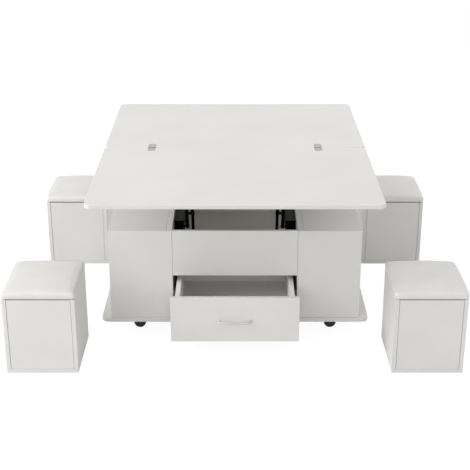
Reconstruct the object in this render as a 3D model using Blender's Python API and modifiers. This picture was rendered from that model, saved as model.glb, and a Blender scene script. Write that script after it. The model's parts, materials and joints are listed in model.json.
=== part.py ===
"""Lift-top coffee table with four storage stools.

The model is in metres, with +Z up and +X along the table's length. Its origin is on the floor,
under the middle of the whole set. It stands in use: the top raised towards the front, its back
leaf unfolded, the drawer partly out and the four stools beside it.
"""

import math

import bmesh
import bpy
import numpy as np
from mathutils import Matrix, Vector

# Top: two leaves that meet at a seam over the middle of the base, each as deep as the box
top_width = 1.100
leaf_thickness = 0.016
top_height = 0.697
leaf_corner_radius = 0.028
leaf_edge_radius = 0.0022
seam_gap = 0.0008

# Base: a board on casters that carries the box, as wide as the top
base_depth = 0.717
base_thickness = 0.0165
base_underside = 0.0552
base_corner_radius = 0.030

# Box: two stool bays beside a middle column with a lift compartment above a drawer
box_end_margin = 0.040
box_side_margin = 0.006
box_top = 0.457
panel_thickness = 0.015
partition_thickness = 0.0217
column_width = 0.508
panel_seam = 0.0009
compartment_floor_underside = 0.265
upper_panel_bottom = 0.2628

# Lift mechanism: a parallelogram of folded steel arms on each side of the compartment
arm_raised_deg = 108.0
arm_width = 0.020
arm_thickness = 0.0125
arm_wall = 0.0025
rear_arm_tail = 0.085
front_arm_offset = 0.2005
rear_arm_offset = 0.184
lower_pivot_drop = 0.069
upper_pivot_drop = 0.0511
front_pivot_y = -0.120
rear_pivot_y = 0.030
pivot_pin_radius = 0.004
pivot_head_radius = 0.0065
pivot_head_thickness = 0.0016
cross_tube_radius = 0.008
cross_tube_share = 0.5
bracket_inner_offset = 0.2140
bracket_height = 0.080
bracket_wall = 0.003
bracket_front_margin = 0.050
bracket_drop = 0.043
rail_offset = 0.2105
rail_thickness = 0.003
rail_height = 0.048
rail_flange_width = 0.024
rail_front_margin = 0.255
rail_end_margin = 0.0175
crossbar_width = 0.030

# Hinges: flush plates across the seam of the top
hinge_offset = 0.350
hinge_plate_width = 0.032
hinge_plate_reach = 0.050
hinge_plate_thickness = 0.002
hinge_plate_sink = 0.0002
hinge_plate_corner = 0.0148
knuckle_radius = 0.0025
knuckle_width_share = 1 / 3
hinge_pin_radius = 0.0012

# Drawer
drawer_front_width = 0.504
drawer_front_bottom = 0.0728
drawer_front_top = 0.2618
drawer_front_thickness = 0.018
drawer_pulled_out = 0.2135
drawer_length = 0.500
drawer_side_offset = 0.237
drawer_side_thickness = 0.018
drawer_side_bottom = 0.100
drawer_side_top = 0.236
drawer_bottom_thickness = 0.006
drawer_bottom_rise = 0.010
drawer_groove_depth = 0.005
runner_height = 0.040
runner_middle = 0.168
runner_wall = 0.0022
runner_length = 0.450
runner_engagement = 0.0070
handle_length = 0.130
handle_radius = 0.0048
handle_stand_off = 0.026
handle_height = 0.163
handle_bow = 0.004

# Casters, which stand turned along the table, their wheels towards its ends
caster_end_margin = 0.152
caster_side_margin = 0.0835
caster_trail = 0.018
wheel_radius = 0.025
wheel_pair_width = 0.046
wheel_pair_gap = 0.013
wheel_shoulder = 0.003
axle_radius = 0.003
hood_wall = 0.0022
hood_disc_radius = 0.015
hood_disc_thickness = 0.0035
hood_neck_radius = 0.009

# Stools
stool_width = 0.275
stool_depth = 0.310
stool_body_height = 0.311
stool_panel_thickness = 0.015
stool_clearance = 0.055
stool_stagger = 0.1795
stool_face_inset = 0.001
stool_face_gap = 0.0012
stool_face_drop = 0.0025
stool_joint_line = 0.0006
stool_joint_depth = 0.0010
stool_lid_thickness = 0.015
stool_lid_play = 0.002
cushion_thickness = 0.038
cushion_crown = 0.006
cushion_overhang = 0.0010
cushion_edge_radius = 0.012
cushion_side_draw = 0.003
cushion_cuts = 5

# Shared clearances and eased edges
gap = 0.0003
running_gap = 0.0005
board_edge = 0.0006
metal_edge = 0.0004
cut_overrun = 0.004
weld = 0.00001
corner_steps = 6
round_steps = 20
bend_steps = 24
round_points = 5

# Places that follow from the sizes above
box_depth = base_depth - 2 * box_side_margin
leaf_depth = box_depth
leaf_underside = top_height - leaf_thickness
base_top = base_underside + base_thickness
box_bottom = base_top + gap
box_half = top_width / 2 - box_end_margin
front_face_y = -box_depth / 2
panel_back_y = front_face_y + panel_thickness
column_half = column_width / 2
hinge_axis_height = top_height + hinge_plate_sink
arm_raised = math.radians(arm_raised_deg)
lower_pivot_height = box_top - lower_pivot_drop
arm_length = (top_height - upper_pivot_drop - lower_pivot_height) / math.sin(arm_raised)
arm_rise = Vector((0.0, arm_length * math.cos(arm_raised), arm_length * math.sin(arm_raised)))
rail_bottom = leaf_underside - gap - rail_height
rail_front_reach = leaf_depth - rail_front_margin
caster_x = top_width / 2 - caster_end_margin
caster_y = base_depth / 2 - caster_side_margin
stool_x = (top_width + stool_width) / 2 + stool_clearance
stool_y = box_depth / 2 + stool_stagger
drawer_face_y = front_face_y - drawer_pulled_out
drawer_back_y = drawer_face_y + drawer_length

assembly = None
cutters = None
world_point = {}


def clear_scene():
    """Removes every object that the scene starts with."""
    for obj in list(bpy.data.objects):
        bpy.data.objects.remove(obj, do_unlink=True)


def new_collection(name):
    """Makes a collection under the scene's own."""
    made = bpy.data.collections.new(name)
    bpy.context.scene.collection.children.link(made)
    return made


def linear(channel):
    """One sRGB channel, 0 to 1, as a linear value."""
    return channel / 12.92 if channel <= 0.04045 else ((channel + 0.055) / 1.055) ** 2.4


def finish(name, colour, roughness, metallic=0.0):
    """A Principled material from an sRGB hex colour."""
    made = bpy.data.materials.new(name)
    made.use_nodes = True
    shader = made.node_tree.nodes["Principled BSDF"]
    parts = [linear(int(colour[i : i + 2], 16) / 255) for i in (1, 3, 5)]
    shader.inputs["Base Color"].default_value = (*parts, 1.0)
    shader.inputs["Roughness"].default_value = roughness
    shader.inputs["Metallic"].default_value = metallic
    made.diffuse_color = (*parts, 1.0)
    return made


def white_board(name):
    """White melamine-faced board."""
    return finish(name + "_white_board", "#E4E3E1", 0.42)


def white_top(name):
    """Smooth white lacquered top."""
    return finish(name + "_white_top", "#E8E7E5", 0.3)


def black_steel(name):
    """Powder-coated black steel."""
    return finish(name + "_black_steel", "#141414", 0.45, 0.4)


def grey_zinc(name):
    """Satin zinc plate."""
    return finish(name + "_zinc", "#9A9A98", 0.35, 0.9)


def white_leather(name):
    """White faux leather."""
    return finish(name + "_white_leather", "#E6E5E2", 0.5)


def black_nylon(name):
    """Black moulded nylon."""
    return finish(name + "_black_nylon", "#0C0C0C", 0.5)


def white_metal(name):
    """White painted metal."""
    return finish(name + "_white_metal", "#D9D8D6", 0.4, 0.1)


def joint_point(name, at, parent=None):
    """An empty on a joint's axis, which carries the pieces that move there."""
    made = bpy.data.objects.new(name, None)
    assembly.objects.link(made)
    made.parent = parent
    world_point[made.name] = Vector(at)
    made.location = Vector(at) - (world_point[parent.name] if parent else Vector())
    return made


def seat(obj, at, parent=None, tool=False):
    """Puts an object at a world point, hangs it on its joint point and files it."""
    group = cutters if tool else assembly
    group.objects.link(obj)
    obj.parent = parent
    obj.location = Vector(at) - (world_point[parent.name] if parent else Vector())
    if tool:
        obj.hide_render = True
        obj.display_type = "WIRE"
    return obj


def dress(obj, material):
    """Gives an object its one material and smooth shading with sharp edges."""
    obj.data.materials.clear()
    if material:
        obj.data.materials.append(material)
    obj.data.shade_smooth()
    obj.data.set_sharp_from_angle(angle=math.radians(35.0))


def ease(obj, width, steps=1):
    """Rounds the sharp edges of an object by a small width."""
    made = obj.modifiers.new("eased_edges", "BEVEL")
    made.width = width
    made.segments = steps
    made.limit_method = "ANGLE"
    made.angle_limit = math.radians(40.0)
    made.use_clamp_overlap = True


def combine(obj, tool, operation="DIFFERENCE"):
    """Cuts an object with a tool, or joins the tool to it."""
    made = obj.modifiers.new(tool.name, "BOOLEAN")
    made.operation = operation
    made.object = tool
    made.solver = "EXACT"


def block(name, low, high, material, parent=None, edge=board_edge, corner=0.0,
          along=2, keep=None, tool=False, steps=1):
    """A board between two corners. Its edges along one axis can be rounded by a corner radius."""
    low = Vector(low)
    high = Vector(high)
    size = high - low
    work = bmesh.new()
    bmesh.ops.create_cube(work, size=1.0)
    bmesh.ops.scale(work, vec=size, verts=work.verts)
    if corner:
        sides = [e for e in work.edges
                 if abs((e.verts[0].co - e.verts[1].co)[along]) > size[along] / 2
                 and (keep is None or keep(e.verts[0].co))]
        bmesh.ops.bevel(work, geom=sides, offset=corner, segments=corner_steps,
                        profile=0.5, affect="EDGES")
    mesh = bpy.data.meshes.new(name)
    work.to_mesh(mesh)
    work.free()
    obj = bpy.data.objects.new(name, mesh)
    seat(obj, (low + high) / 2, parent, tool)
    dress(obj, material)
    if edge:
        ease(obj, edge, steps)
    return obj


def turned(name, profile, at, material, parent=None, axis="Z", tool=False, steps=round_steps):
    """A turned solid. The profile is (radius, height) pairs from the top centre to the bottom."""
    mesh = bpy.data.meshes.new(name)
    points = [(radius, 0.0, height) for radius, height in profile]
    mesh.from_pydata(points, [(i, i + 1) for i in range(len(points) - 1)], [])
    obj = bpy.data.objects.new(name, mesh)
    seat(obj, at, parent, tool)
    if material:
        mesh.materials.append(material)
    made = obj.modifiers.new("turn", "SCREW")
    made.angle = math.tau
    made.steps = steps
    made.render_steps = steps
    made.use_merge_vertices = True
    made.merge_threshold = weld
    if axis == "X":
        obj.rotation_euler = (0.0, math.pi / 2, 0.0)
    if axis == "Y":
        obj.rotation_euler = (math.pi / 2, 0.0, 0.0)
    return obj


def rod(name, radius, length, at, material, parent=None, axis="Z", tool=False, steps=round_steps):
    """A plain round bar, centred on a point."""
    half = length / 2
    profile = [(0.0, half), (radius, half), (radius, -half), (0.0, -half)]
    return turned(name, profile, at, material, parent, axis, tool, steps)


def meshed(curve, name, material, parent=None):
    """Makes a curve's tube a mesh object with welded caps, its origin on its joint point."""
    bpy.context.view_layer.update()
    graph = bpy.context.evaluated_depsgraph_get()
    mesh = bpy.data.meshes.new_from_object(curve.evaluated_get(graph))
    mesh.name = name
    at = world_point[parent.name] if parent else Vector()
    mesh.transform(Matrix.Translation(-at) @ curve.matrix_world)
    bpy.data.objects.remove(curve, do_unlink=True)
    work = bmesh.new()
    work.from_mesh(mesh)
    bmesh.ops.remove_doubles(work, verts=work.verts, dist=weld)
    work.to_mesh(mesh)
    work.free()
    obj = bpy.data.objects.new(name, mesh)
    seat(obj, at, parent)
    dress(obj, material)
    return obj


def tube(name, points, radius, material, at=(0.0, 0.0, 0.0), sides=2):
    """A closed round tube along a list of points."""
    data = bpy.data.curves.new(name, "CURVE")
    data.dimensions = "3D"
    data.bevel_depth = radius
    data.bevel_resolution = sides
    data.use_fill_caps = True
    line = data.splines.new("POLY")
    line.points.add(len(points) - 1)
    for slot, point in zip(line.points, points):
        slot.co = (*point, 1.0)
    if material:
        data.materials.append(material)
    return seat(bpy.data.objects.new(name, data), at)


# Base and casters

def make_base():
    """The board that everything stands on, with rounded corners."""
    half_x = top_width / 2
    half_y = base_depth / 2
    block("base_board", (-half_x, -half_y, base_underside), (half_x, half_y, base_top),
          white_board("base_board"), edge=leaf_edge_radius, corner=base_corner_radius, steps=2)


def wheel_profile():
    """Two crowned wheels on one axle, as a profile from one outer side to the other."""
    outer = wheel_pair_width / 2
    inner = wheel_pair_gap / 2 + gap
    side = [(0.0, outer), (wheel_radius - 2 * wheel_shoulder, outer),
            (wheel_radius - wheel_shoulder / 3, outer - wheel_shoulder),
            (wheel_radius, outer - 2 * wheel_shoulder),
            (wheel_radius, inner + wheel_shoulder),
            (wheel_radius - wheel_shoulder / 2, inner), (axle_radius, inner)]
    return side + [(radius, -height) for radius, height in reversed(side)]


def caster_hood(name, axle, trail, parent):
    """The moulded hood: a swivel disc and neck over a drum with a well for each wheel.

    The wall between the wells carries the axle. Below it the drum is cut away.
    """
    inner = wheel_radius + 2 * running_gap
    outer = inner + hood_wall
    half_web = wheel_pair_gap / 2
    hood = rod(name, outer, wheel_pair_width, axle, black_nylon(name), parent, axis="Y",
               steps=bend_steps)
    top = base_underside - running_gap
    profile = [(0.0, top), (hood_disc_radius, top), (hood_disc_radius, top - hood_disc_thickness),
               (hood_neck_radius, top - hood_disc_thickness), (hood_neck_radius, axle.z),
               (0.0, axle.z)]
    combine(hood, turned(name + "_neck", profile, (axle.x - trail, axle.y, 0.0), None, tool=True),
            "UNION")
    for side, label in ((-1.0, "_near"), (1.0, "_far")):
        middle = axle + Vector((0.0, side * (half_web + wheel_pair_width / 2), 0.0))
        well = rod(name + label + "_well", inner, wheel_pair_width, middle, None, axis="Y",
                   tool=True, steps=bend_steps)
        combine(hood, well)
        spans = sorted((side * (half_web - 2 * gap), side * wheel_pair_width))
        under = block(name + label + "_under", axle + Vector((-2 * outer, spans[0], -2 * outer)),
                      axle + Vector((2 * outer, spans[1], axle_radius)), None, edge=0.0, tool=True)
        combine(hood, under)
    below = block(name + "_below", axle - Vector((2 * outer, wheel_pair_width, 2 * outer)),
                  axle + Vector((2 * outer, wheel_pair_width, -2 * axle_radius)), None, edge=0.0,
                  tool=True)
    combine(hood, below)
    bore = rod(name + "_bore", axle_radius + gap, wheel_pair_width, axle, None, axis="Y",
               tool=True)
    combine(hood, bore)


def make_casters():
    """Four twin-wheel swivel casters, one near each corner of the base board."""
    for side_y, end in ((-1.0, "front"), (1.0, "back")):
        for side_x, hand in ((-1.0, "left"), (1.0, "right")):
            label = end + "_" + hand
            axle = Vector((side_x * caster_x, side_y * caster_y, wheel_radius))
            trail = side_x * caster_trail
            swivel = joint_point("swivel_point_" + label, (axle.x - trail, axle.y, base_underside))
            caster_hood("caster_hood_" + label, axle, trail, swivel)
            turned("caster_wheels_" + label, wheel_profile(), axle,
                   black_nylon("caster_wheels_" + label), swivel, axis="Y", steps=bend_steps)


# Box

def make_box():
    """The boards of the box: two partitions, its outside panels, the tops of the bays."""
    inner = column_half
    outer = column_half + partition_thickness
    depth = -panel_back_y - gap
    for side, hand in ((-1.0, "left"), (1.0, "right")):
        spans = sorted((side * inner, side * outer))
        block(hand + "_partition", (spans[0], -depth, box_bottom), (spans[1], depth, box_top),
              white_board(hand + "_partition"))
        spans = sorted((side * (column_half - gap), side * box_half))
        block("front_" + hand + "_panel", (spans[0], front_face_y, box_bottom),
              (spans[1], panel_back_y, box_top), white_board("front_" + hand + "_panel"))
        spans = sorted((side * (outer + panel_seam), side * box_half))
        block(hand + "_bay_top", (spans[0], -depth, box_top - panel_thickness),
              (spans[1], depth, box_top), white_board(hand + "_bay_top"))
    block("back_panel", (-box_half, -panel_back_y, box_bottom),
          (box_half, -front_face_y, box_top), white_board("back_panel"))
    half = column_half - gap - panel_seam
    block("upper_front_panel", (-half, front_face_y, upper_panel_bottom),
          (half, panel_back_y, box_top), white_board("upper_front_panel"))
    half = column_half - gap
    block("compartment_floor", (-half, -depth, compartment_floor_underside),
          (half, depth, compartment_floor_underside + panel_thickness),
          white_board("compartment_floor"))


# Lift mechanism

def pivot_pin(name, inner, outer, y, z, side):
    """A pin along X with a head at its inner end, let into the plate that carries it."""
    length = outer - inner
    head_at = -length / 2
    profile = [(0.0, length / 2), (pivot_pin_radius, length / 2),
               (pivot_pin_radius, head_at), (pivot_head_radius, head_at),
               (pivot_head_radius, head_at - pivot_head_thickness),
               (0.0, head_at - pivot_head_thickness)]
    pin = turned(name, profile, (side * (inner + outer) / 2, y, z), None, axis="X", tool=True)
    if side < 0:
        pin.rotation_euler = (0.0, -math.pi / 2, 0.0)
    return pin


def arm_bar(name, offset, pivot_y, side, material, parent=None, tail=0.0, tool=False):
    """A channel from a lower to an upper pivot, open behind, with round ends and a hole at each
    pivot. A tail can carry it on below the lower pivot."""
    half_x = arm_thickness / 2
    half_w = arm_width / 2
    at = Vector((side * offset, pivot_y, lower_pivot_height))
    bar = block(name, (-half_x, -tail - half_w, -half_w), (half_x, arm_length + half_w, half_w),
                material, edge=0.0, corner=half_w - metal_edge, along=0, tool=tool)
    bar.data.transform(Matrix.Translation(bar.location))
    bar.parent = parent
    bar.location = at - (world_point[parent.name] if parent else Vector())
    bar.rotation_euler = (arm_raised, 0.0, 0.0)
    spans = [(half_w, arm_length - half_w)]
    if tail:
        spans.append((half_w - tail, -half_w))
    for index, (low, high) in enumerate(spans):
        hollow = block(name + "_hollow_" + str(index), (arm_wall - half_x, low, -2 * half_w),
                       (half_x - arm_wall, high, half_w - arm_wall), None, edge=0.0, tool=True)
        hollow.data.transform(Matrix.Translation(hollow.location))
        hollow.location = at
        hollow.rotation_euler = (arm_raised, 0.0, 0.0)
        combine(bar, hollow)
    for label, point in (("low", at), ("high", at + arm_rise)):
        hole = rod(name + "_hole_" + label, pivot_pin_radius + gap, arm_width, point, None,
                   axis="X", tool=True)
        combine(bar, hole)
    return bar


def bracket(name, side):
    """A folded steel box on the partition, open underneath and behind, with both lower pins."""
    low_x = bracket_inner_offset
    high_x = column_half - gap
    low_y = front_pivot_y - bracket_front_margin
    high_y = rear_pivot_y + bracket_front_margin
    top = lower_pivot_height + bracket_drop - gap
    bottom = top - bracket_height
    spans = sorted((side * low_x, side * high_x))
    shell = block(name, (spans[0], low_y, bottom), (spans[1], high_y, top), black_steel(name),
                  edge=0.0)
    spans = sorted((side * (low_x + bracket_wall), side * (high_x - bracket_wall)))
    hollow = block(name + "_hollow", (spans[0], low_y + bracket_wall, bottom - cut_overrun),
                   (spans[1], high_y + cut_overrun, top - bracket_wall), None, edge=0.0, tool=True)
    combine(shell, hollow)
    for offset, y, label in ((front_arm_offset, front_pivot_y, "_front_pin"),
                             (rear_arm_offset, rear_pivot_y, "_rear_pin")):
        inner = offset - arm_thickness / 2 - gap
        combine(shell, pivot_pin(name + label, inner, low_x + bracket_wall / 2, y,
                                 lower_pivot_height, side), "UNION")


def angle_rail(name, side):
    """An L of folded steel along Y: an upright web and a flange outwards along its top."""
    half = rail_thickness / 2
    top = leaf_underside - gap
    inner = rail_offset - half
    outline = [(inner, rail_bottom), (rail_offset + half, rail_bottom),
               (rail_offset + half, top - rail_thickness),
               (rail_offset + rail_flange_width, top - rail_thickness),
               (rail_offset + rail_flange_width, top), (inner, top)]
    if side < 0:
        outline = [(-x, z) for x, z in reversed(outline)]
    count = len(outline)
    ends = (-rail_front_reach, -rail_end_margin)
    points = [(x, y, z) for y in ends for x, z in outline]
    faces = [tuple(range(count)), tuple(reversed(range(count, 2 * count)))]
    faces += [(i, i + count, (i + 1) % count + count, (i + 1) % count) for i in range(count)]
    mesh = bpy.data.meshes.new(name)
    mesh.from_pydata(points, [], faces)
    return seat(bpy.data.objects.new(name, mesh), (0.0, 0.0, 0.0), tool=True)


def rail_parts(side, hand):
    """One side of the lift frame: its rail under the leaf and two pins."""
    parts = [angle_rail("rail_" + hand, side)]
    for offset, y, label in ((front_arm_offset, front_pivot_y, "front_pin_"),
                             (rear_arm_offset, rear_pivot_y, "rear_pin_")):
        inner = offset - arm_thickness / 2 - gap
        parts.append(pivot_pin(label + hand, inner, rail_offset, y + arm_rise.y,
                               lower_pivot_height + arm_rise.z, side))
    return parts


def make_lift():
    """Brackets, arms and the frame that they raise, with the arms up.

    The crossbar starts behind the rails' front ends and lies under their flanges.
    """
    rear_low = Vector((0.0, rear_pivot_y, lower_pivot_height))
    front_low = Vector((0.0, front_pivot_y, lower_pivot_height))
    rear_axis = joint_point("rear_arm_axis", rear_low)
    top_axis = joint_point("top_axis", rear_low + arm_rise, rear_axis)
    front_axis = joint_point("front_arm_axis", front_low)
    top = leaf_underside - 2 * rail_thickness
    near = -rail_front_reach + rail_thickness
    frame = block("lift_frame", (-rail_offset, near, top - rail_thickness),
                  (rail_offset, near + crossbar_width, top), black_steel("lift_frame"),
                  top_axis, edge=0.0)
    for side, hand in ((-1.0, "left"), (1.0, "right")):
        bracket(hand + "_lift_bracket", side)
        arm_bar(hand + "_front_arm", front_arm_offset, front_pivot_y, side,
                black_steel(hand + "_front_arm"), front_axis)
        for part in rail_parts(side, hand):
            combine(frame, part, "UNION")
    rear = arm_bar("rear_arms", rear_arm_offset, rear_pivot_y, -1.0, black_steel("rear_arms"),
                   rear_axis, tail=rear_arm_tail)
    other = arm_bar("rear_arm_right", rear_arm_offset, rear_pivot_y, 1.0, None,
                    tail=rear_arm_tail, tool=True)
    tie = rod("cross_tube", cross_tube_radius, 2 * rear_arm_offset,
              rear_low + arm_rise * cross_tube_share, None, axis="X", tool=True)
    combine(rear, tie, "UNION")
    combine(rear, other, "UNION")
    return top_axis


# Top

def hinge_cutters():
    """Recesses for the hinge plates and their knuckles, which both leaves share."""
    tools = []
    half = hinge_plate_width / 2 + gap
    reach = hinge_plate_reach + gap
    floor = top_height - hinge_plate_sink - hinge_plate_thickness - gap
    for side, hand in ((-1.0, "left"), (1.0, "right")):
        x = side * hinge_offset
        tools.append(block("recess_" + hand, (x - half, -reach, floor),
                           (x + half, reach, top_height + cut_overrun), None, edge=0.0,
                           corner=hinge_plate_corner, tool=True))
        tools.append(rod("knuckle_room_" + hand, knuckle_radius + gap, 2 * half,
                         (x, 0.0, hinge_axis_height), None, axis="X", tool=True))
    return tools


def hinge_plate(name, side, facing, parent):
    """Half of a flush hinge: a plate with a round end and its share of the knuckle.

    The front half holds the pin, and the back half turns on it.
    """
    x = side * hinge_offset
    half = hinge_plate_width / 2
    near = facing * seam_gap / 2
    far = facing * hinge_plate_reach
    top = top_height - hinge_plate_sink
    ys = sorted((near, far))
    plate = block(name, (x - half, ys[0], top - hinge_plate_thickness), (x + half, ys[1], top),
                  grey_zinc(name), parent, edge=0.0, corner=hinge_plate_corner,
                  keep=lambda corner: corner.y * facing > 0)
    at = (x, 0.0, hinge_axis_height)
    barrel = rod(name + "_barrel", knuckle_radius, hinge_plate_width, at, None, axis="X", tool=True)
    combine(plate, barrel, "UNION")
    middle = hinge_plate_width * knuckle_width_share / 2
    clear = knuckle_radius + 2 * gap
    spans = [(-middle - gap, middle + gap)]
    if facing > 0:
        spans = [(-half - cut_overrun, -middle), (middle, half + cut_overrun)]
    for index, (low, high) in enumerate(spans):
        notch = block(name + "_notch_" + str(index), (x + low, -clear, top - 2 * knuckle_radius),
                      (x + high, clear, top + 2 * knuckle_radius), None, edge=0.0, tool=True)
        combine(plate, notch)
    if facing > 0:
        bore = rod(name + "_bore", hinge_pin_radius + gap, hinge_plate_width + cut_overrun, at,
                   None, axis="X", tool=True)
        combine(plate, bore)
    else:
        pin = rod(name + "_pin", hinge_pin_radius, hinge_plate_width - metal_edge, at, None,
                  axis="X", tool=True)
        combine(plate, pin, "UNION")


def make_top(top_axis):
    """The two leaves and the flush hinges between them."""
    half_x = top_width / 2
    near = seam_gap / 2
    seam_axis = joint_point("seam_axis", (0.0, 0.0, hinge_axis_height), top_axis)
    tools = hinge_cutters()
    for name, low_y, high_y, parent in (("front_leaf", -leaf_depth, -near, top_axis),
                                        ("back_leaf", near, leaf_depth, seam_axis)):
        leaf = block(name, (-half_x, low_y, leaf_underside), (half_x, high_y, top_height),
                     white_top(name), parent, edge=leaf_edge_radius, corner=leaf_corner_radius,
                     steps=2)
        for tool in tools:
            combine(leaf, tool)
    for side, hand in ((-1.0, "left"), (1.0, "right")):
        hinge_plate(hand + "_hinge_front_plate", side, -1.0, top_axis)
        hinge_plate(hand + "_hinge_back_plate", side, 1.0, seam_axis)


# Drawer

def make_drawer():
    """The drawer's five boards, its handle and its runners."""
    slide = joint_point("drawer_slide", (0.0, drawer_face_y, drawer_front_bottom))
    half = drawer_front_width / 2
    front_back = drawer_face_y + drawer_front_thickness
    front = block("drawer_front", (-half, drawer_face_y, drawer_front_bottom),
                  (half, front_back, drawer_front_top), white_board("drawer_front"), slide,
                  edge=board_edge * 2, steps=2)
    side_inner = drawer_side_offset - drawer_side_thickness
    back_front = drawer_back_y - drawer_side_thickness
    floor_low = drawer_side_bottom + drawer_bottom_rise
    reach = side_inner + drawer_groove_depth
    groove = block("drawer_groove",
                   (-reach - gap, front_back - drawer_groove_depth - gap, floor_low - gap),
                   (reach + gap, back_front + drawer_groove_depth + gap,
                    floor_low + drawer_bottom_thickness + gap), None, edge=0.0, tool=True)
    for side, hand in ((-1.0, "left"), (1.0, "right")):
        spans = sorted((side * side_inner, side * drawer_side_offset))
        board = block("drawer_" + hand + "_side", (spans[0], front_back + gap, drawer_side_bottom),
                      (spans[1], drawer_back_y, drawer_side_top),
                      white_board("drawer_" + hand + "_side"), slide)
        combine(board, groove)
    back = block("drawer_back", (-side_inner + gap, back_front, drawer_side_bottom),
                 (side_inner - gap, drawer_back_y, drawer_side_top),
                 white_board("drawer_back"), slide)
    combine(back, groove)
    combine(front, groove)
    block("drawer_bottom",
          (-reach, front_back - drawer_groove_depth, floor_low),
          (reach, back_front + drawer_groove_depth, floor_low + drawer_bottom_thickness),
          white_board("drawer_bottom"), slide, edge=0.0)
    make_handle(slide)
    make_runners(slide, front_back)


def make_handle(slide):
    """A slim bowed bar on the drawer front, turned back to the face at both ends."""
    half = handle_length / 2
    out = drawer_face_y - gap
    foot = handle_radius
    turn = np.linspace(0.0, math.pi / 2, round_points)
    bend = handle_stand_off / 2
    ends_x = half - foot - bend + bend * np.sin(turn)
    ends_y = out - handle_stand_off + handle_radius + bend * (1 - np.cos(turn))
    right = [(x, y, handle_height) for x, y in zip(ends_x, ends_y)]
    right.append((half - foot, out, handle_height))
    middle = [(0.0, out - handle_stand_off + handle_radius - handle_bow, handle_height)]
    left = [(-x, y, z) for x, y, z in reversed(right)]
    bar = tube("bar", left + middle + right, handle_radius, None, sides=2)
    meshed(bar, "drawer_handle", white_metal("drawer_handle"), slide)


def make_runners(slide, front_back):
    """A fixed channel on each partition and the bar on the drawer that slides in it."""
    half = runner_height / 2
    fixed_face = drawer_side_offset + runner_engagement
    for side, hand in ((-1.0, "left"), (1.0, "right")):
        spans = sorted((side * fixed_face, side * (column_half - gap)))
        low_y = front_face_y + drawer_front_thickness + gap
        name = hand + "_fixed_runner"
        channel = block(name, (spans[0], low_y, runner_middle - half),
                        (spans[1], low_y + runner_length, runner_middle + half),
                        grey_zinc(name), edge=0.0)
        spans = sorted((side * (fixed_face - cut_overrun),
                        side * (column_half - gap - runner_wall)))
        slot = block(name + "_slot",
                     (spans[0], low_y - cut_overrun, runner_middle - half + runner_wall),
                     (spans[1], low_y + runner_length + cut_overrun,
                      runner_middle + half - runner_wall), None, edge=0.0, tool=True)
        combine(channel, slot)
        spans = sorted((side * (drawer_side_offset + gap),
                        side * (column_half - gap - runner_wall - running_gap)))
        bar_half = half - runner_wall - running_gap
        name = hand + "_moving_runner"
        block(name, (spans[0], front_back + gap, runner_middle - bar_half),
              (spans[1], front_back + gap + runner_length, runner_middle + bar_half),
              grey_zinc(name), slide, edge=0.0)


# Stools

def cushion(name, centre, low_z, parent):
    """A foam seat pad: a crowned top, drawn-in sides and soft edges, flat underneath."""
    half_x = stool_width / 2 + cushion_overhang
    half_y = stool_depth / 2 + cushion_overhang
    thick = cushion_thickness - cushion_crown
    work = bmesh.new()
    bmesh.ops.create_cube(work, size=1.0)
    bmesh.ops.subdivide_edges(work, edges=work.edges, cuts=cushion_cuts, use_grid_fill=True)
    for vert in work.verts:
        u = 2 * vert.co.x
        v = 2 * vert.co.y
        upper = max(0.0, 2 * vert.co.z)
        crown = cushion_crown * (1 - u ** 2) * (1 - v ** 2) * upper
        draw_x = cushion_side_draw * (1 - v ** 2) * upper
        draw_y = cushion_side_draw * (1 - u ** 2) * upper
        vert.co.z = (vert.co.z + 0.5) * thick + crown
        vert.co.x = u * (half_x - draw_x)
        vert.co.y = v * (half_y - draw_y)
    mesh = bpy.data.meshes.new(name)
    work.to_mesh(mesh)
    work.free()
    obj = bpy.data.objects.new(name, mesh)
    seat(obj, (centre[0], centre[1], low_z), parent)
    dress(obj, white_leather(name))
    ease(obj, cushion_edge_radius / 2, 2)
    return obj


def stool(label, x, y):
    """One stool: a case of a bottom and two sides, two faces, a lid board and its cushion."""
    stand = joint_point("stool_point_" + label, (x, y, 0.0))
    lid = joint_point("lid_point_" + label, (x, y, stool_body_height), stand)
    prefix = "stool_" + label + "_"
    half_x = stool_width / 2
    half_y = stool_depth / 2
    board = stool_panel_thickness
    case = block(prefix + "case", (x - half_x, y - half_y, 0.0), (x + half_x, y + half_y, board),
                 white_board(prefix + "case"), stand, edge=0.0)
    face_half = half_x - board - stool_face_gap
    for side, hand, facing in ((-1.0, "left", "front"), (1.0, "right", "back")):
        spans = sorted((side * (half_x - board), side * half_x))
        low = board + stool_joint_line
        wall = block(prefix + hand + "_wall", (x + spans[0], y - half_y, low),
                     (x + spans[1], y + half_y, stool_body_height), None, edge=0.0, tool=True)
        spans = sorted((side * (half_x - board + stool_joint_depth),
                        side * (half_x - stool_joint_depth)))
        tongue = block(prefix + hand + "_tongue",
                       (x + spans[0], y - half_y + stool_joint_depth, board / 2),
                       (x + spans[1], y + half_y - stool_joint_depth, board * 2), None,
                       edge=0.0, tool=True)
        combine(case, wall, "UNION")
        combine(case, tongue, "UNION")
        spans = sorted((side * (half_y - stool_face_inset - board),
                        side * (half_y - stool_face_inset)))
        block(prefix + facing + "_face", (x - face_half, y + spans[0], board + gap),
              (x + face_half, y + spans[1], stool_body_height - stool_face_drop),
              white_board(prefix + facing + "_face"), stand)
    lid_x = half_x - board - stool_lid_play
    lid_y = half_y - stool_face_inset - board - stool_lid_play
    block(prefix + "lid_board",
          (x - lid_x, y - lid_y, stool_body_height - stool_lid_thickness),
          (x + lid_x, y + lid_y, stool_body_height), white_board(prefix + "lid_board"), lid)
    cushion(prefix + "cushion", (x, y), stool_body_height + gap, lid)


def make_stools():
    """Four stools, two at each end of the table."""
    for side_y, end in ((-1.0, "front"), (1.0, "back")):
        for side_x, hand in ((-1.0, "left"), (1.0, "right")):
            stool(end + "_" + hand, side_x * stool_x, side_y * stool_y)


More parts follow.
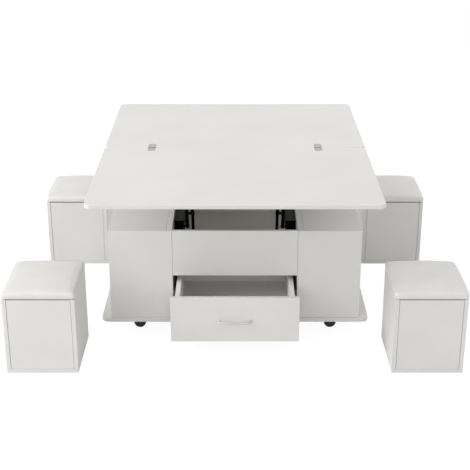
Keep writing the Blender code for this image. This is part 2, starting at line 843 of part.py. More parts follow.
clear_scene()
assembly = new_collection("lift_top_table")
cutters = new_collection("cutters")
make_base()
make_casters()
make_box()
make_top(make_lift())
make_drawer()
make_stools()
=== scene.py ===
"""Lift-top coffee table with four storage stools: finishes, cushions, fittings, light and camera.

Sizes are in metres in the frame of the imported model: +Z up, +X along the table, the drawer
opening towards -Y, and the floor at height 0.
"""

import json
import math

import bmesh
import bpy
import numpy as np
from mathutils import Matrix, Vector


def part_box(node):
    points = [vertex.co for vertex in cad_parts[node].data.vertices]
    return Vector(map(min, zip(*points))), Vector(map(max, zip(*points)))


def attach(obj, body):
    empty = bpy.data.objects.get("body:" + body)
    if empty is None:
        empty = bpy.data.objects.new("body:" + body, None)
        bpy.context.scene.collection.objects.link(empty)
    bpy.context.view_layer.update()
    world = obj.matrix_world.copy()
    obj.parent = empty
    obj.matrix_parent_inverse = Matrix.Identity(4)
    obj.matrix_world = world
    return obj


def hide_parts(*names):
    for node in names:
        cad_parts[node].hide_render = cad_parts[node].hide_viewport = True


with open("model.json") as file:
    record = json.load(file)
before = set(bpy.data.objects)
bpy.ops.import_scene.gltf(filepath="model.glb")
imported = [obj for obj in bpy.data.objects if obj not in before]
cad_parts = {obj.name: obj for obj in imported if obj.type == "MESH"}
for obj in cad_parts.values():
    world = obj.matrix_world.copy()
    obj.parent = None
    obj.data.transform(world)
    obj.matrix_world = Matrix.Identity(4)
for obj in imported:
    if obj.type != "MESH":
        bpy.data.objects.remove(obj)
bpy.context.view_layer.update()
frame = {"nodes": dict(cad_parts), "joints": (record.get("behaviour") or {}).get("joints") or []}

MM = 0.001
ENDS = ("front", "back")
HANDS = (("left", -1.0), ("right", 1.0))
LABELS = [f"{end}_{hand}" for end in ENDS for hand, _ in HANDS]


# Materials

def linear(hex_colour):
    """An sRGB hex colour as linear red, green, blue and a full alpha."""
    levels = [int(hex_colour[i:i + 2], 16) / 255 for i in (1, 3, 5)]
    channels = [v / 12.92 if v <= 0.04045 else ((v + 0.055) / 1.055) ** 2.4 for v in levels]
    return (*channels, 1.0)


def add(tree, kind, inputs=None, **settings):
    """Adds a node to a tree with its settings. An input is a value, or a socket to link from."""
    made = tree.nodes.new(kind)
    for name, value in settings.items():
        setattr(made, name, value)
    for name, value in (inputs or {}).items():
        if isinstance(value, bpy.types.NodeSocket):
            tree.links.new(value, made.inputs[name])
        else:
            made.inputs[name].default_value = value
    return made


def start_material(name, **shader):
    """A new material with one Principled shader, its inputs named with low lines for spaces.
    Gives its tree, shader and Object coordinates."""
    material = bpy.data.materials.new(name)
    material.use_nodes = True
    tree = material.node_tree
    tree.nodes.clear()
    inputs = {key.replace("_", " "): value for key, value in shader.items()}
    principled = add(tree, "ShaderNodeBsdfPrincipled", inputs)
    output = add(tree, "ShaderNodeOutputMaterial")
    tree.links.new(principled.outputs["BSDF"], output.inputs["Surface"])
    return material, tree, principled, add(tree, "ShaderNodeTexCoord").outputs["Object"]


def vary(tree, coords, spacing, low, high, detail=2.0):
    """Smooth noise with features of the given spacing. Most of it lies between 0.3 and 0.7, and
    that span is mapped to run from low to high."""
    noise = add(tree, "ShaderNodeTexNoise",
                {"Vector": coords, "Scale": 1.0 / spacing, "Detail": detail})
    return add(tree, "ShaderNodeMapRange", {"Value": noise.outputs["Fac"], "From Min": 0.3,
                                            "From Max": 0.7, "To Min": low, "To Max": high}
               ).outputs["Result"]


def tint(tree, factor, dark, light):
    """A colour between two hex colours. The mix node's colour sockets are inputs 6 and 7."""
    return add(tree, "ShaderNodeMix", {0: factor, 6: linear(dark), 7: linear(light)},
               data_type="RGBA").outputs[2]


def relief(tree, height, depth, strength=1.0, below=None):
    """A bump of the given depth, on top of another bump where there is one."""
    inputs = {"Height": height, "Distance": depth, "Strength": strength}
    if below is not None:
        inputs["Normal"] = below
    return add(tree, "ShaderNodeBump", inputs).outputs["Normal"]


def melamine_board():
    """Melamine-faced particle board. Resin-soaked white paper is pressed hot on the board against
    a satin plate: an even off-white with a very fine pebble and a soft, wide gloss. The pebble is
    0.3 mm on the real board and is drawn at 1.6 mm, so that it shows."""
    material, tree, shader, coords = start_material("melamine_faced_board_pressed", IOR=1.5)
    cloud = vary(tree, coords, 180 * MM, 0.0, 1.0)
    tree.links.new(tint(tree, cloud, "#E4E3E1", "#E8E7E5"), shader.inputs["Base Color"])
    tree.links.new(vary(tree, coords, 40 * MM, 0.40, 0.47), shader.inputs["Roughness"])
    pebble = vary(tree, coords, 1.6 * MM, 0.0, 1.0, 1.0)
    tree.links.new(relief(tree, pebble, 0.02 * MM, 0.5), shader.inputs["Normal"])
    return material


def foil_wrapped_board():
    """Thin board of the drawer box, wrapped in white paper foil: whiter and flatter in gloss than
    the outside boards, with the foil's soft lengthwise grain of 0.8 mm by 12 mm."""
    material, tree, shader, coords = start_material("paper_foil_wrapped_board", IOR=1.45)
    cloud = vary(tree, coords, 150 * MM, 0.0, 1.0)
    tree.links.new(tint(tree, cloud, "#F3F2F1", "#F7F6F5"), shader.inputs["Base Color"])
    tree.links.new(vary(tree, coords, 40 * MM, 0.44, 0.52), shader.inputs["Roughness"])
    drawn = add(tree, "ShaderNodeMapping", {"Vector": coords, "Scale": (1.0, 0.07, 1.0)})
    grain = vary(tree, drawn.outputs["Vector"], 0.8 * MM, 0.0, 1.0, 1.0)
    tree.links.new(relief(tree, grain, 0.01 * MM, 0.5), shader.inputs["Normal"])
    return material


def painted_shade_board():
    """Grey board on the lift compartment's floor: its warm grey is painted shade for white board in
    the shade under the raised top. Matt, with a short stipple 2 mm wide and slow random changes of
    tone."""
    material, tree, shader, coords = start_material("grey_board_for_painted_shade", IOR=1.45)
    cloud = vary(tree, coords, 120 * MM, 0.0, 1.0)
    # The warm grey colour is painted shade, standing for the shade on a white floor.
    tree.links.new(tint(tree, cloud, "#B7B4AF", "#BEBBB6"), shader.inputs["Base Color"])
    tree.links.new(vary(tree, coords, 30 * MM, 0.58, 0.68), shader.inputs["Roughness"])
    stipple = vary(tree, coords, 2 * MM, 0.0, 1.0, 1.0)
    tree.links.new(relief(tree, stipple, 0.03 * MM, 0.5), shader.inputs["Normal"])
    return material


def lacquered_board():
    """Fibreboard leaf, sprayed with white satin lacquer and rubbed down: smoother and glossier
    than the box's board, with a faint long ripple of 30 mm and a fine peel of 1.2 mm left by the
    spraying."""
    material, tree, shader, coords = start_material("satin_lacquered_fibreboard", IOR=1.5)
    cloud = vary(tree, coords, 260 * MM, 0.0, 1.0)
    tree.links.new(tint(tree, cloud, "#E2E1DF", "#E6E5E3"), shader.inputs["Base Color"])
    tree.links.new(vary(tree, coords, 60 * MM, 0.30, 0.36), shader.inputs["Roughness"])
    ripple = vary(tree, coords, 30 * MM, 0.0, 1.0, 1.0)
    peel = vary(tree, coords, 1.2 * MM, 0.0, 1.0, 1.0)
    first = relief(tree, ripple, 0.03 * MM, 0.5)
    tree.links.new(relief(tree, peel, 0.01 * MM, 0.5, first), shader.inputs["Normal"])
    return material


def coated_leather():
    """Polyurethane-coated leather cloth, embossed with a calf grain: rounded cells between fine
    creases, a soft satin skin. The real cells are about 0.8 mm and are drawn at 1.8 mm, so that
    they show. Its tone changes slowly and at random, about 90 mm apart."""
    material, tree, shader, coords = start_material("polyurethane_leather_embossed", IOR=1.48)
    cloud = vary(tree, coords, 90 * MM, 0.0, 1.0)
    tree.links.new(tint(tree, cloud, "#E7E6E3", "#EBEAE8"), shader.inputs["Base Color"])
    drift = add(tree, "ShaderNodeTexNoise",
                {"Vector": coords, "Scale": 1.0 / (5 * MM), "Detail": 1.0})
    bent = add(tree, "ShaderNodeVectorMath", {0: drift.outputs["Color"], 1: (MM, MM, MM),
                                              2: coords}, operation="MULTIPLY_ADD")
    cells = add(tree, "ShaderNodeTexVoronoi",
                {"Vector": bent.outputs[0], "Scale": 1.0 / (1.8 * MM)},
                feature="DISTANCE_TO_EDGE")
    grain = add(tree, "ShaderNodeMapRange", {"Value": cells.outputs["Distance"],
                                             "From Min": 0.0, "From Max": 0.35})
    tree.links.new(vary(tree, coords, 12 * MM, 0.46, 0.56), shader.inputs["Roughness"])
    soft = relief(tree, vary(tree, coords, 14 * MM, 0.0, 1.0), 0.15 * MM, 0.5)
    tree.links.new(relief(tree, grain.outputs["Result"], 0.12 * MM, 0.6, soft),
                   shader.inputs["Normal"])
    return material


def powder_coated_steel():
    """Pressed sheet steel with a baked black powder coat: a low satin black whose skin has the
    orange peel of melted powder, about 1.5 mm from crest to crest."""
    material, tree, shader, coords = start_material("powder_coated_pressed_steel", IOR=1.5,
                                                    Specular_IOR_Level=0.1)
    dust = vary(tree, coords, 25 * MM, 0.0, 1.0)
    tree.links.new(tint(tree, dust, "#060606", "#0B0B0B"), shader.inputs["Base Color"])
    tree.links.new(vary(tree, coords, 8 * MM, 0.42, 0.54), shader.inputs["Roughness"])
    peel = vary(tree, coords, 1.5 * MM, 0.0, 1.0, 1.0)
    tree.links.new(relief(tree, peel, 0.04 * MM, 0.6), shader.inputs["Normal"])
    return material


def zinc_plated_steel(name="zinc_plated_stamped_steel", dark="#ABAAA7", light="#BCBBB8", spread=0.4):
    """Stamped steel, barrel-plated with zinc: a light grey satin metal with fine rolling lines
    along X, 0.5 mm apart, and a faint cloudiness from the bath."""
    material, tree, shader, coords = start_material(name, Metallic=1.0)
    lines = add(tree, "ShaderNodeMapping", {"Vector": coords, "Scale": (0.04, 1.0, 1.0)})
    streaks = vary(tree, lines.outputs["Vector"], 0.5 * MM, 0.0, 1.0, 1.0)
    cloud = vary(tree, coords, 20 * MM, 0.0, 1.0)
    tree.links.new(tint(tree, cloud, dark, light), shader.inputs["Base Color"])
    tree.links.new(vary(tree, lines.outputs["Vector"], 2 * MM, spread - 0.05, spread + 0.07),
                   shader.inputs["Roughness"])
    tree.links.new(relief(tree, streaks, 0.01 * MM, 0.5), shader.inputs["Normal"])
    return material


def painted_bar():
    """Bent aluminium bar in enamel, its colour set a shade darker than the boards; smooth and a
    little glossier, with a slight orange peel 3 mm across."""
    material, tree, shader, coords = start_material("stoved_enamel_on_aluminium", IOR=1.5)
    cloud = vary(tree, coords, 30 * MM, 0.0, 1.0)
    tree.links.new(tint(tree, cloud, "#D0CFCD", "#D5D4D2"), shader.inputs["Base Color"])
    tree.links.new(vary(tree, coords, 10 * MM, 0.32, 0.38), shader.inputs["Roughness"])
    peel = vary(tree, coords, 3 * MM, 0.0, 1.0, 1.0)
    tree.links.new(relief(tree, peel, 0.006 * MM, 0.3), shader.inputs["Normal"])
    return material


def moulded_nylon():
    """Glass-filled nylon, injection moulded: a dull black with a spark-eroded grain 0.7 mm wide
    and slightly paler scuffs."""
    material, tree, shader, coords = start_material("glass_filled_nylon_moulded", IOR=1.53)
    scuffs = vary(tree, coords, 6 * MM, 0.0, 1.0, 4.0)
    tree.links.new(tint(tree, scuffs, "#0A0A0A", "#141413"), shader.inputs["Base Color"])
    tree.links.new(vary(tree, coords, 5 * MM, 0.48, 0.62), shader.inputs["Roughness"])
    grain = vary(tree, coords, 0.7 * MM, 0.0, 1.0, 1.0)
    tree.links.new(relief(tree, grain, 0.03 * MM, 0.5), shader.inputs["Normal"])
    return material


def spring_wire():
    """Drawn spring steel, oil tempered: a dark blue-grey metal, a little uneven in tone and gloss
    from the oil."""
    material, tree, shader, coords = start_material("oil_tempered_spring_wire", Metallic=1.0)
    cloud = vary(tree, coords, 5 * MM, 0.0, 1.0)
    tree.links.new(tint(tree, cloud, "#3C3D3F", "#55565A"), shader.inputs["Base Color"])
    tree.links.new(vary(tree, coords, 2 * MM, 0.30, 0.42), shader.inputs["Roughness"])
    return material


def cap_plastic():
    """White polypropylene cover cap, injection moulded: a little glossier and bluer than the
    board that it sits on."""
    material, tree, shader, coords = start_material("polypropylene_cap_moulded", IOR=1.49)
    cloud = vary(tree, coords, 8 * MM, 0.0, 1.0)
    tree.links.new(tint(tree, cloud, "#DEDEDD", "#E3E3E2"), shader.inputs["Base Color"])
    tree.links.new(vary(tree, coords, 4 * MM, 0.34, 0.42), shader.inputs["Roughness"])
    return material


BOARD = melamine_board()
DRAWER_FOIL = foil_wrapped_board()
# This board's grey is painted shade for the compartment floor.
SHADE_GREY_BOARD = painted_shade_board()
LEAF = lacquered_board()
LEATHER = coated_leather()
BLACK_STEEL = powder_coated_steel()
ZINC = zinc_plated_steel()
SCREW_ZINC = zinc_plated_steel("zinc_plated_screw_heads", "#C6C5C2", "#D4D3D0", 0.28)
ENAMEL = painted_bar()
NYLON = moulded_nylon()
WIRE = spring_wire()
CAP = cap_plastic()

# The compartment floor takes the grey board whose colour is painted shade.
NODE_FINISHES = (("compartment_floor", SHADE_GREY_BOARD), ("drawer_left", DRAWER_FOIL),
                 ("drawer_right", DRAWER_FOIL), ("drawer_back", DRAWER_FOIL),
                 ("drawer_bottom", DRAWER_FOIL), ("cushion", LEATHER), ("leaf", LEAF),
                 ("hinge", ZINC), ("runner", ZINC), ("bracket", BLACK_STEEL),
                 ("arm", BLACK_STEEL), ("lift_frame", BLACK_STEEL), ("caster", NYLON),
                 ("handle", ENAMEL), ("", BOARD))


def finish_of(node):
    """The first finish whose word is in the node's name. The last one fits every name."""
    return next(material for word, material in NODE_FINISHES if word in node)


for name, obj in frame["nodes"].items():
    for place in obj.material_slots:
        place.material = finish_of(name)


# Surfaces

def surface(name, grids, material, crease=40.0):
    """One mesh of closed skins. Each grid holds rows of rings: a ring's last point joins its
    first, neighbouring rings are joined by quads, and a ring whose points all meet is a pole."""
    points = []
    faces = []
    first = 0
    for grid in grids:
        rows, columns = grid.shape[:2]
        row, column = np.meshgrid(np.arange(rows - 1), np.arange(columns), indexing="ij")
        here = first + row * columns + column
        beside = first + row * columns + (column + 1) % columns
        faces.append(np.stack((here, beside, beside + columns, here + columns), -1).reshape(-1, 4))
        points.append(grid.reshape(-1, 3))
        first += rows * columns
    mesh = bpy.data.meshes.new(name)
    mesh.from_pydata(np.concatenate(points).tolist(), [], np.concatenate(faces).tolist())
    work = bmesh.new()
    work.from_mesh(mesh)
    bmesh.ops.remove_doubles(work, verts=work.verts, dist=0.001 * MM)
    bmesh.ops.dissolve_degenerate(work, edges=work.edges, dist=0.0001 * MM)
    bmesh.ops.recalc_face_normals(work, faces=work.faces)
    work.to_mesh(mesh)
    work.free()
    mesh.materials.append(material)
    mesh.shade_smooth()
    mesh.set_sharp_from_angle(angle=math.radians(crease))
    obj = bpy.data.objects.new(name, mesh)
    bpy.context.scene.collection.objects.link(obj)
    return obj


def square_axes(axis):
    """Two unit vectors square to an axis and to each other."""
    axis = np.array(axis, float) / np.linalg.norm(axis)
    helper = np.array((0.0, 0.0, 1.0)) if abs(axis[2]) < 0.9 else np.array((1.0, 0.0, 0.0))
    across = np.cross(helper, axis)
    across /= np.linalg.norm(across)
    return across, np.cross(axis, across), axis


def turned(profile, centre, axis, sides=40):
    """A turned skin: at angle t round the axis a profile point (radius r, height h) lies at
    centre + r cos t across + r sin t up + h axis."""
    across, up, along = square_axes(axis)
    radius, height = np.array(profile, float).T[:, :, None, None]
    turn = np.linspace(0.0, math.tau, sides, endpoint=False)[None, :, None]
    ring = np.cos(turn) * across + np.sin(turn) * up
    return np.array(centre) + radius * ring + height * along


def tube(path, radius, side, sides=16):
    """A round skin along a path: at angle t a ring point lies at p + r cos t n + r sin t b, where
    n is the given side direction made square to the path and b is square to both. The first and
    last rings shrink to the path's ends, which closes it."""
    path = np.array(path, float)
    forward = np.gradient(path, axis=0)
    forward /= np.linalg.norm(forward, axis=1)[:, None]
    side = np.broadcast_to(np.array(side, float), path.shape)
    normal = side - (side * forward).sum(1)[:, None] * forward
    normal /= np.linalg.norm(normal, axis=1)[:, None]
    second = np.cross(forward, normal)
    turn = np.linspace(0.0, math.tau, sides, endpoint=False)[None, :, None]
    rings = path[:, None] + radius * (np.cos(turn) * normal[:, None] + np.sin(turn) * second[:, None])
    ends = np.repeat(path[[0, -1]][:, None], sides, axis=1)
    return np.concatenate((ends[:1], rings, ends[1:]))


def rounded_outline(half_x, half_y, radius, straight=30, corner=8):
    """A rounded rectangle as points: four quarter circles joined by straight runs."""
    arcs = []
    for quarter, (sx, sy) in enumerate(((1, 1), (-1, 1), (-1, -1), (1, -1))):
        turn = np.linspace(quarter, quarter + 1, corner) * math.pi / 2
        arcs.append(np.stack((sx * (half_x - radius) + radius * np.cos(turn),
                              sy * (half_y - radius) + radius * np.sin(turn)), -1))
    runs = [np.linspace(arc[-1], following[0], straight + 2)[1:-1]
            for arc, following in zip(arcs, arcs[1:] + arcs[:1])]
    return np.concatenate([part for pair in zip(arcs, runs) for part in pair])


SLOT_HALF_WIDTH = 0.55 * MM
SLOT_REACH = 0.6
SLOT_SOFTNESS = 0.08 * MM
SLOT_END_SOFTNESS = 0.05
SLOT_DEPTH = 0.6
HEAD_RIM = 0.35


def screw_head(centre, axis, radius, height):
    """A cross-recessed screw head of height h and radius R. At distance r from its axis it stands
    h (rim + (1 - rim) (1 - (r/R)^2)^0.5) high. The cross is sunk where the smaller of |a| and |b|,
    a point's distances across and up, is under the slot's half width and the larger is within its
    reach."""
    across, up, along = square_axes(axis)
    share = np.concatenate((np.linspace(0.0, 0.8, 14), (0.88, 0.94, 0.98, 1.0, 1.0)))[:, None]
    turn = np.linspace(0.0, math.tau, 48, endpoint=False)[None, :]
    a = radius * share * np.cos(turn)
    b = radius * share * np.sin(turn)
    dome = height * (HEAD_RIM + (1 - HEAD_RIM) * np.sqrt(np.clip(1 - share ** 2, 0.0, 1.0)))
    narrow = np.minimum(np.abs(a), np.abs(b))
    reach = np.maximum(np.abs(a), np.abs(b)) / (radius * SLOT_REACH)
    within_width = 1 / (1 + np.exp(-(SLOT_HALF_WIDTH - narrow) / SLOT_SOFTNESS))
    within_reach = 1 / (1 + np.exp((reach - 1) / SLOT_END_SOFTNESS))
    rise = dome - SLOT_DEPTH * height * within_width * within_reach
    rise[-1] = 0.0
    return (np.array(centre) + a[..., None] * across + b[..., None] * up
            + rise[..., None] * along)


# Cushions

PAD_CROWN = 7 * MM
PAD_TOP_RADIUS = 9 * MM
PAD_FOOT_RADIUS = 3 * MM
PAD_CORNER = 9 * MM
PAD_START_INSET = 0.6 * MM
PAD_SWELL_CAP = 1.5 * MM
PAD_BULGE = 2.6 * MM
PAD_SQUARE = 5 * MM
COVER_FRAMES = 20
SIDE_START = 0.9
FOLD_DEPTH = 1.4 * MM
FOLD_WIDTH = 4 * MM
FOLD_REACH = 16 * MM
FOLD_HEIGHT = 24 * MM
STAPLE_PULL = 0.45 * MM
STAPLE_SPACING = 36 * MM
STAPLE_HEIGHT = 9 * MM
HOLLOW_DEPTH = 0.22 * MM
HOLLOW_START = 24 * MM
HOLLOW_BLEND = 10 * MM
CROWN_RISE = 2 * MM
CORNER_DROP = 7 * MM
CROWN_BLEND = 30 * MM


def pad_grid(centre, low, half_x, half_y, height):
    """The foam block under the cover. Rows run from the middle of the underside out over the foot
    radius, up the side, round the top radius and in to the middle of the top. Each row is a
    rounded rectangle, and the top rises by crown (1 - u^2)(1 - v^2) towards the middle."""
    bend = np.linspace(0.0, math.pi / 2, 7)
    level = height - PAD_CROWN
    foot = [(PAD_FOOT_RADIUS * (1 - math.sin(a)), PAD_FOOT_RADIUS * (1 - math.cos(a))) for a in bend]
    wall = [(0.0, z) for z in np.linspace(PAD_FOOT_RADIUS, level - PAD_TOP_RADIUS, 6)[1:-1]]
    edge = [(PAD_TOP_RADIUS * (1 - math.cos(a)), level - PAD_TOP_RADIUS * (1 - math.sin(a)))
            for a in bend]
    rows = []
    for scale in (0.0, 0.3, 0.6, 0.9):
        flat = rounded_outline(half_x - PAD_FOOT_RADIUS, half_y - PAD_FOOT_RADIUS, PAD_CORNER)
        rows.append(np.column_stack((flat * scale, np.zeros(len(flat)))))
    for inset, z in foot + wall + edge:
        flat = rounded_outline(half_x - inset, half_y - inset, PAD_CORNER)
        rows.append(np.column_stack((flat, np.full(len(flat), z))))
    rim = rounded_outline(half_x - PAD_TOP_RADIUS, half_y - PAD_TOP_RADIUS, PAD_CORNER)
    for scale in np.linspace(1.0, 0.0, 22)[1:]:
        u = rim[:, 0] * scale / (half_x - PAD_TOP_RADIUS)
        v = rim[:, 1] * scale / (half_y - PAD_TOP_RADIUS)
        rise = PAD_CROWN * (1 - u ** 2) * (1 - v ** 2)
        rows.append(np.column_stack((rim * scale, level + rise)))
    return np.array(rows) + np.array((*centre, low))


def read_points(mesh):
    """The mesh's points as an array."""
    flat = np.empty(len(mesh.vertices) * 3, np.float32)
    mesh.vertices.foreach_get("co", flat)
    return flat.reshape(-1, 3).astype(float)


def write_points(mesh, points):
    """Puts an array of points back into the mesh."""
    mesh.vertices.foreach_set("co", points.astype(np.float32).ravel())
    mesh.update()


def applied(obj):
    """Gives the object a mesh with its modifiers applied, and takes the modifiers off."""
    graph = bpy.context.evaluated_depsgraph_get()
    mesh = bpy.data.meshes.new_from_object(obj.evaluated_get(graph))
    obj.modifiers.clear()
    old = obj.data
    mesh.name = old.name
    obj.data = mesh
    bpy.data.meshes.remove(old)


def remeshed(obj, size):
    """Turns the object's mesh into even squares of about the given size."""
    made = obj.modifiers.new("even_squares", "REMESH")
    made.mode = "VOXEL"
    made.voxel_size = size
    applied(obj)


def inflated(obj, low):
    """Blows the cover up as cloth, held at its foot, and lets no point move further than the
    cap. The result is written into the mesh, so no modifier is left."""
    start = read_points(obj.data)
    held = obj.vertex_groups.new(name="foot")
    held.add(np.flatnonzero(start[:, 2] < low + 2 * PAD_FOOT_RADIUS).tolist(), 1.0, "REPLACE")
    cloth = obj.modifiers.new("cover", "CLOTH")
    settings = cloth.settings
    settings.quality = 5
    settings.mass = 0.3
    settings.tension_stiffness = 25.0
    settings.compression_stiffness = 25.0
    settings.shear_stiffness = 10.0
    settings.bending_stiffness = 6.0
    settings.use_pressure = True
    settings.uniform_pressure_force = 0.6
    settings.vertex_group_mass = held.name
    settings.effector_weights.gravity = 0.0
    scene = bpy.context.scene
    for step in range(1, COVER_FRAMES + 1):
        scene.frame_set(step)
    graph = bpy.context.evaluated_depsgraph_get()
    moved = read_points(obj.evaluated_get(graph).to_mesh()) - start
    far = np.linalg.norm(moved, axis=1)[:, None]
    obj.modifiers.clear()
    obj.vertex_groups.clear()
    write_points(obj.data, start + moved * np.minimum(1.0, PAD_SWELL_CAP / np.maximum(far, 1e-9)))
    scene.frame_set(1)


def tailored(points, centre, low, half_x, half_y, number):
    """Works the cover over as an upholsterer leaves it. A fold runs down each corner, along the
    line where both sides are equally far. Staples below pull the foot in at even steps. The sides
    bulge by b sin(pi h / H)^0.5. The top is raised and its corners are drawn down, by
    rise - drop u^2 v^2. It has shallow hollows from the foam, made of slow waves that differ on
    each cushion."""
    x = points[:, 0] - centre[0]
    y = points[:, 1] - centre[1]
    h = points[:, 2] - low
    inward = -np.stack((np.sign(x), np.sign(y), np.zeros_like(x)), -1) / math.sqrt(2)
    skew = (np.abs(x) - half_x) - (np.abs(y) - half_y)
    corner = np.exp(-((half_x - np.abs(x)) + (half_y - np.abs(y))) / FOLD_REACH)
    fold = FOLD_DEPTH * np.exp(-(skew / FOLD_WIDTH) ** 2) * corner * np.exp(-(h / FOLD_HEIGHT) ** 2)
    # About the distance along the outline at each point's angle.
    length = np.arctan2(y, x) * (half_x + half_y) / 1.6
    outermost = np.maximum(np.abs(x) / half_x, np.abs(y) / half_y)
    side = np.clip((outermost - SIDE_START) / (1 - SIDE_START), 0.0, 1.0)
    pull = STAPLE_PULL * (0.5 + 0.5 * np.cos(math.tau * length / STAPLE_SPACING)) * side
    pull = pull * np.exp(-h / STAPLE_HEIGHT)
    full = np.clip(h / (h.max() + PAD_FOOT_RADIUS), 0.0, 1.0)
    pull = pull - PAD_BULGE * np.sqrt(np.sin(math.pi * full)) * side
    # The high power keeps only the direction straight out from the nearest side.
    outward = np.stack((x / half_x, y / half_y, np.zeros_like(x)), -1)
    outward = np.sign(outward) * np.abs(outward) ** 8
    waves = np.sin(x / (31 * MM) + 1.7 * number) * np.cos(y / (37 * MM) - 0.9 * number)
    waves += 0.7 * np.sin((x + 0.6 * y) / (19 * MM) + 2.3 * number)
    waves += 0.5 * np.cos((y - 0.4 * x) / (13 * MM) + 1.1 * number)
    upper = np.clip((h - HOLLOW_START) / HOLLOW_BLEND, 0.0, 1.0)
    drawn = np.clip(x / half_x, -1, 1) ** 2 * np.clip(y / half_y, -1, 1) ** 2
    raised = (CROWN_RISE - CORNER_DROP * drawn) * np.clip(h / CROWN_BLEND, 0.0, 1.0)
    lift = np.zeros_like(points)
    lift[:, 2] = HOLLOW_DEPTH * waves * upper + raised
    return points + fold[:, None] * inward - pull[:, None] * outward + lift


def smoothed(obj):
    """One level of subdivision, applied."""
    made = obj.modifiers.new("finer", "SUBSURF")
    made.levels = 1
    made.render_levels = 1
    applied(obj)


def make_cushions():
    """The four seat pads. One is blown up as cloth and the others are cut from the same cover.
    Each is then tailored by itself."""
    low_corner, high_corner = (np.array(c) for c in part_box("stool_front_left_cushion"))
    half_x, half_y = (high_corner - low_corner)[:2] / 2
    height = high_corner[2] - low_corner[2]
    low = low_corner[2]
    middle = (low_corner + high_corner)[:2] / 2
    inset = PAD_START_INSET
    pattern = surface("pad_pattern", [pad_grid(middle, low, half_x - inset, half_y - inset,
                                               height - inset)], LEATHER)
    remeshed(pattern, PAD_SQUARE)
    inflated(pattern, low)
    points = read_points(pattern.data)
    points[:, 2] = np.maximum(points[:, 2], low)
    for number, label in enumerate(LABELS):
        node = f"stool_{label}_cushion"
        corners = [np.array(c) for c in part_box(node)]
        centre = (corners[0] + corners[1])[:2] / 2
        turn = 1.0 if number % 2 == 0 else -1.0
        placed = np.column_stack(((points[:, :2] - middle) * turn + centre, points[:, 2]))
        placed = tailored(placed, centre, low, half_x, half_y, number)
        cushion = bpy.data.objects.new(f"stool_{label}_seat_pad", pattern.data.copy())
        bpy.context.scene.collection.objects.link(cushion)
        write_points(cushion.data, placed)
        smoothed(cushion)
        cushion.data.shade_smooth()
        cushion.data.materials.clear()
        cushion.data.materials.append(LEATHER)
        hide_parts(node)
        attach(cushion, f"stool_lid_{label}")
    bpy.data.objects.remove(pattern, do_unlink=True)


# Fittings of the top

HINGE_PLATE_SINK = 0.2 * MM
HINGE_SCREW_RADIUS = 4.2 * MM
HINGE_SCREW_HEIGHT = 0.28 * MM
HINGE_SCREW_REACHES = (15 * MM, 36 * MM)
RAIL_SCREW_RADIUS = 4 * MM
RAIL_SCREW_HEIGHT = 2.2 * MM
RAIL_SCREW_PLACES = (40 * MM, 160 * MM, 280 * MM, 400 * MM)
RAIL_SCREW_INSET = 11 * MM
RAIL_FLANGE = 3.3 * MM
ARM_LEAN = math.radians(108.0)
SPRING_RADIUS = 6.6 * MM
SPRING_WIRE_RADIUS = 1.2 * MM
SPRING_TURNS = 6.5
SPRING_POINTS = 7 * 24
SPRING_PITCH = 2.9 * MM
SPRING_START = 2.6 * MM
SPRING_LEG = 46 * MM
SPRING_LEG_BEND = 4.6 * MM
SPRING_HOOK = 6 * MM


def make_hinge_screws():
    """Two flat cross-head screws in each hinge plate, which is let in just under the leaf's face."""
    plate_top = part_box("front_leaf")[1].z - HINGE_PLATE_SINK
    for hand, _ in HANDS:
        for facing, body in (("front", "lifting_top"), ("back", "folding_leaf")):
            low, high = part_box(f"{hand}_hinge_{facing}_plate")
            middle = (low.x + high.x) / 2
            sign = -1.0 if facing == "front" else 1.0
            heads = [screw_head((middle, sign * reach, plate_top), (0, 0, 1),
                                HINGE_SCREW_RADIUS, HINGE_SCREW_HEIGHT)
                     for reach in HINGE_SCREW_REACHES]
            piece = surface(f"{hand}_hinge_{facing}_screws", heads, SCREW_ZINC)
            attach(piece, body)


def make_rail_screws():
    """Four pan-head screws up through each rail's flange into the leaf."""
    low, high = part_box("lift_frame")
    flange = high.x - RAIL_SCREW_INSET
    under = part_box("front_leaf")[0].z - RAIL_FLANGE
    for hand, side in HANDS:
        heads = [screw_head((side * flange, low.y + place, under), (0, 0, -1),
                            RAIL_SCREW_RADIUS, RAIL_SCREW_HEIGHT) for place in RAIL_SCREW_PLACES]
        piece = surface(f"{hand}_rail_screws", heads, SCREW_ZINC)
        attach(piece, "lifting_top")


def make_springs():
    """A torsion spring round each rear lower pivot. Turn t of the helix lies at angle 2 pi t on
    the spring's circle and at t times the pitch along the pin. One end runs up beside the arm and
    hooks over its edge."""
    joint = next(j for j in frame["joints"] if j["name"] == "lift")
    pivot = np.array(joint["pos_m"])
    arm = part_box("rear_arms")
    along = np.array((0.0, math.cos(ARM_LEAN), math.sin(ARM_LEAN)))
    square = np.array((0.0, -math.sin(ARM_LEAN), math.cos(ARM_LEAN)))
    for hand, side in HANDS:
        inner = arm[1].x + SPRING_START
        coil = np.linspace(0.0, SPRING_TURNS, SPRING_POINTS)
        angle = math.tau * coil
        helix = (pivot + SPRING_RADIUS * (np.cos(angle)[:, None] * square
                                          - np.sin(angle)[:, None] * along))
        helix[:, 0] = side * (inner + SPRING_PITCH * coil)
        leg = np.linspace(1.0, 0.0, 16)[:-1, None]
        run = (pivot + SPRING_RADIUS * square + SPRING_LEG * leg * along
               + SPRING_LEG_BEND * leg ** 2 * square)
        run[:, 0] = side * inner
        hook = run[0] + np.linspace(1.0, 0.0, 6)[:-1, None] * np.array((-side * SPRING_HOOK, 0.0, 0.0))
        path = np.concatenate((hook, run, helix))
        wire = tube(path, SPRING_WIRE_RADIUS, (0.3, 0.5, 0.2), 10)
        piece = surface(f"{hand}_lift_spring", [wire], WIRE)
        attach(piece, "rear_arms")


# Fittings of the box and the drawer

